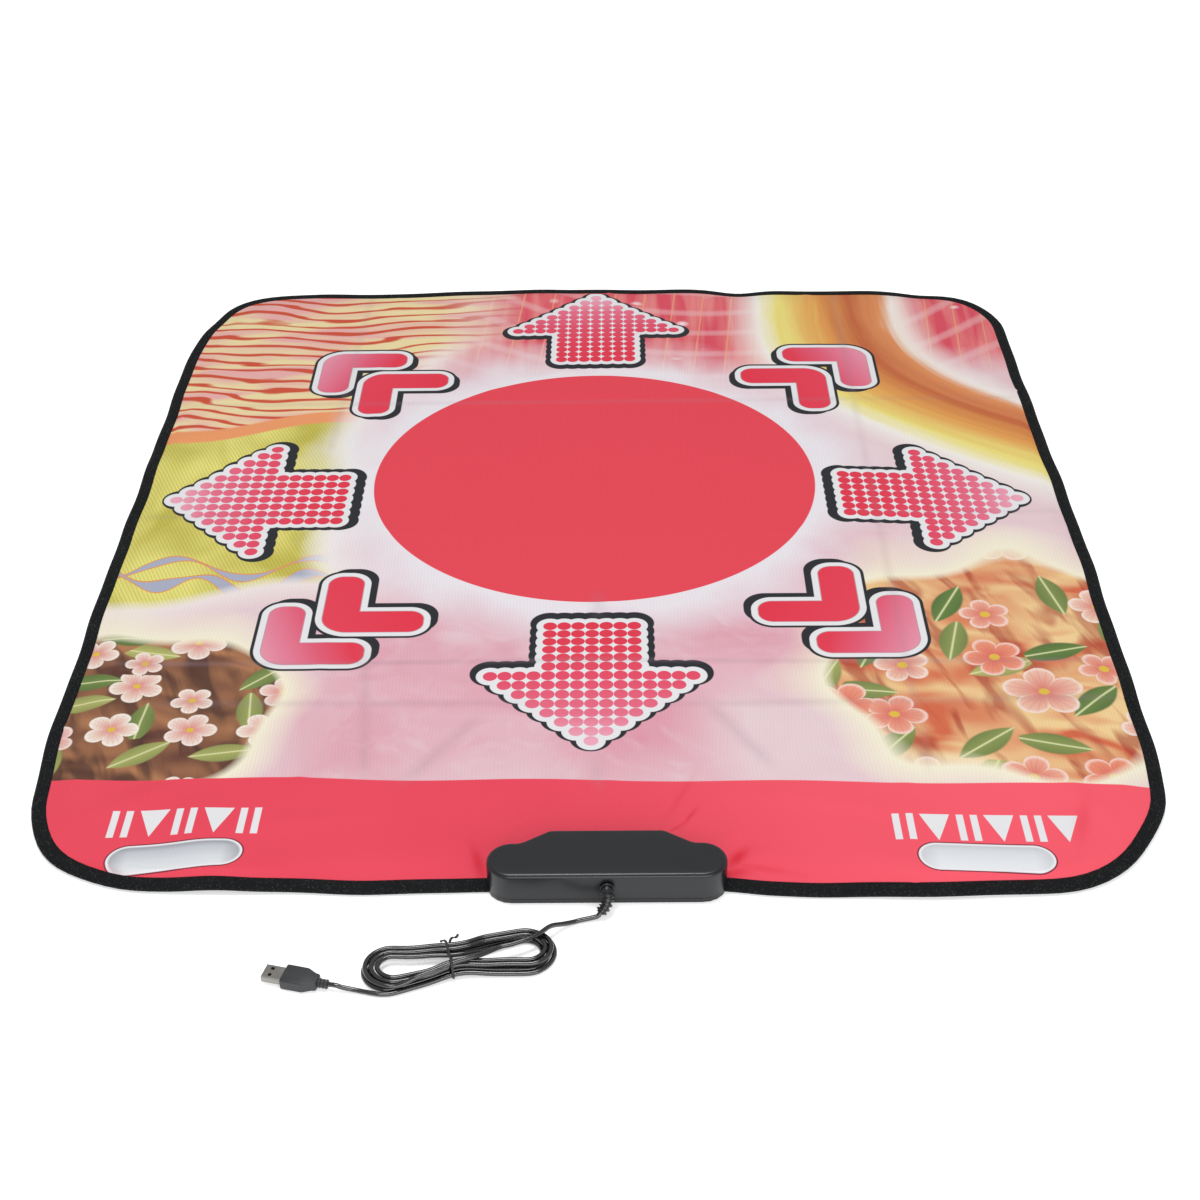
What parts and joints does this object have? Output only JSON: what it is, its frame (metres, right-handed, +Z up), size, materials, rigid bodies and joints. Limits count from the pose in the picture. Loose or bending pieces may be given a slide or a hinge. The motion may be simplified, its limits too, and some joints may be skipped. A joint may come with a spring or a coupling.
{
  "type": "dance mat controller",
  "caption": "Flexible foot-operated controller mat with arrow-shaped and oval step zones, a bound edge, a control box at the front and a thin tied cord with a rectangular plug.",
  "frame": {"origin": "on the underside of the mat, in the middle of its width and length", "axes": "+Z up, +Y from the control box's edge to the mat's far edge, where the back arrow points, +X to the right of the picture"},
  "size_m": [0.82, 1.027, 0.025],
  "materials": {
    "backing": "matte dimpled vinyl-coated cloth",
    "film": "milky polyester film",
    "silver_print": "dull silver ink",
    "carbon_print": "matte carbon ink",
    "foam": "open foam",
    "cover": "printed satin fabric",
    "red_zone": "printed satin fabric",
    "grey_zone": "printed satin fabric",
    "binding": "woven tape",
    "box": "fine satin texture",
    "board": "solder mask",
    "chip": "moulded",
    "metal": "plated",
    "cord": "smooth glossy",
    "insert": "moulded",
    "gold": "gold plated",
    "rubber": "satin",
    "red_wire": "smooth",
    "white_wire": "smooth",
    "green_wire": "smooth",
    "black_wire": "smooth"
  },
  "bodies": {
    "mat": {"bottom_sheet": "backing", "lower_film": "film", "upper_film": "film", "lower_circuit": "silver_print", "foam_spacer": "foam", "top_cover": "cover", "edge_binding": "binding", "upper_shell": "box", "lower_shell": "box", "circuit_board": "board", "controller_chip": "chip", "crystal": "metal", "capacitor": "chip", "ribbon_tail": "carbon_print", "tail_pressure_pad": "rubber", "strain_relief": "cord", "wire_power": "red_wire", "wire_data_minus": "white_wire", "wire_data_plus": "green_wire", "wire_ground": "black_wire", "cord_lead": "cord", "cord_hank": "cord", "cord_tail": "cord", "twist_tie": "rubber", "plug_overmould": "rubber", "plug_shell": "metal", "plug_insert": "insert", "shell_screw_1": "metal", "plug_contact_1": "gold", "shell_screw_2": "metal", "plug_contact_2": "gold", "shell_screw_3": "metal", "plug_contact_3": "gold", "shell_screw_4": "metal", "plug_contact_4": "gold", "board_screw_1": "metal", "board_screw_2": "metal"},
    "back_arrow": {"zone_back_arrow": "red_zone", "contact_back_arrow": "carbon_print"},
    "front_arrow": {"zone_front_arrow": "red_zone", "contact_front_arrow": "carbon_print"},
    "left_arrow": {"zone_left_arrow": "red_zone", "contact_left_arrow": "carbon_print"},
    "right_arrow": {"zone_right_arrow": "red_zone", "contact_right_arrow": "carbon_print"},
    "front_left_chevron": {"zone_front_left_chevron": "red_zone", "contact_front_left_chevron": "carbon_print"},
    "front_right_chevron": {"zone_front_right_chevron": "red_zone", "contact_front_right_chevron": "carbon_print"},
    "back_left_chevron": {"zone_back_left_chevron": "red_zone", "contact_back_left_chevron": "carbon_print"},
    "back_right_chevron": {"zone_back_right_chevron": "red_zone", "contact_back_right_chevron": "carbon_print"},
    "start_oval": {"zone_start_oval": "grey_zone", "contact_start_oval": "carbon_print"},
    "select_oval": {"zone_select_oval": "grey_zone", "contact_select_oval": "carbon_print"}
  },
  "joints": [
    {"name": "back_arrow_press", "type": "slide", "parent": "mat", "child": "back_arrow", "axis": [0, 0, -1], "range_m": [0, 0.0031], "stiffness_N_per_m": 800, "springref_m": -0.0005},
    {"name": "front_arrow_press", "type": "slide", "parent": "mat", "child": "front_arrow", "axis": [0, 0, -1], "range_m": [0, 0.0031], "stiffness_N_per_m": 800, "springref_m": -0.0005},
    {"name": "left_arrow_press", "type": "slide", "parent": "mat", "child": "left_arrow", "axis": [0, 0, -1], "range_m": [0, 0.0031], "stiffness_N_per_m": 800, "springref_m": -0.0005},
    {"name": "right_arrow_press", "type": "slide", "parent": "mat", "child": "right_arrow", "axis": [0, 0, -1], "range_m": [0, 0.0031], "stiffness_N_per_m": 800, "springref_m": -0.0005},
    {"name": "front_left_chevron_press", "type": "slide", "parent": "mat", "child": "front_left_chevron", "axis": [0, 0, -1], "range_m": [0, 0.0031], "stiffness_N_per_m": 800, "springref_m": -0.0005},
    {"name": "front_right_chevron_press", "type": "slide", "parent": "mat", "child": "front_right_chevron", "axis": [0, 0, -1], "range_m": [0, 0.0031], "stiffness_N_per_m": 800, "springref_m": -0.0005},
    {"name": "back_left_chevron_press", "type": "slide", "parent": "mat", "child": "back_left_chevron", "axis": [0, 0, -1], "range_m": [0, 0.0031], "stiffness_N_per_m": 800, "springref_m": -0.0005},
    {"name": "back_right_chevron_press", "type": "slide", "parent": "mat", "child": "back_right_chevron", "axis": [0, 0, -1], "range_m": [0, 0.0031], "stiffness_N_per_m": 800, "springref_m": -0.0005},
    {"name": "start_oval_press", "type": "slide", "parent": "mat", "child": "start_oval", "axis": [0, 0, -1], "range_m": [0, 0.0031], "stiffness_N_per_m": 800, "springref_m": -0.0005},
    {"name": "select_oval_press", "type": "slide", "parent": "mat", "child": "select_oval", "axis": [0, 0, -1], "range_m": [0, 0.0031], "stiffness_N_per_m": 800, "springref_m": -0.0005}
  ]
}
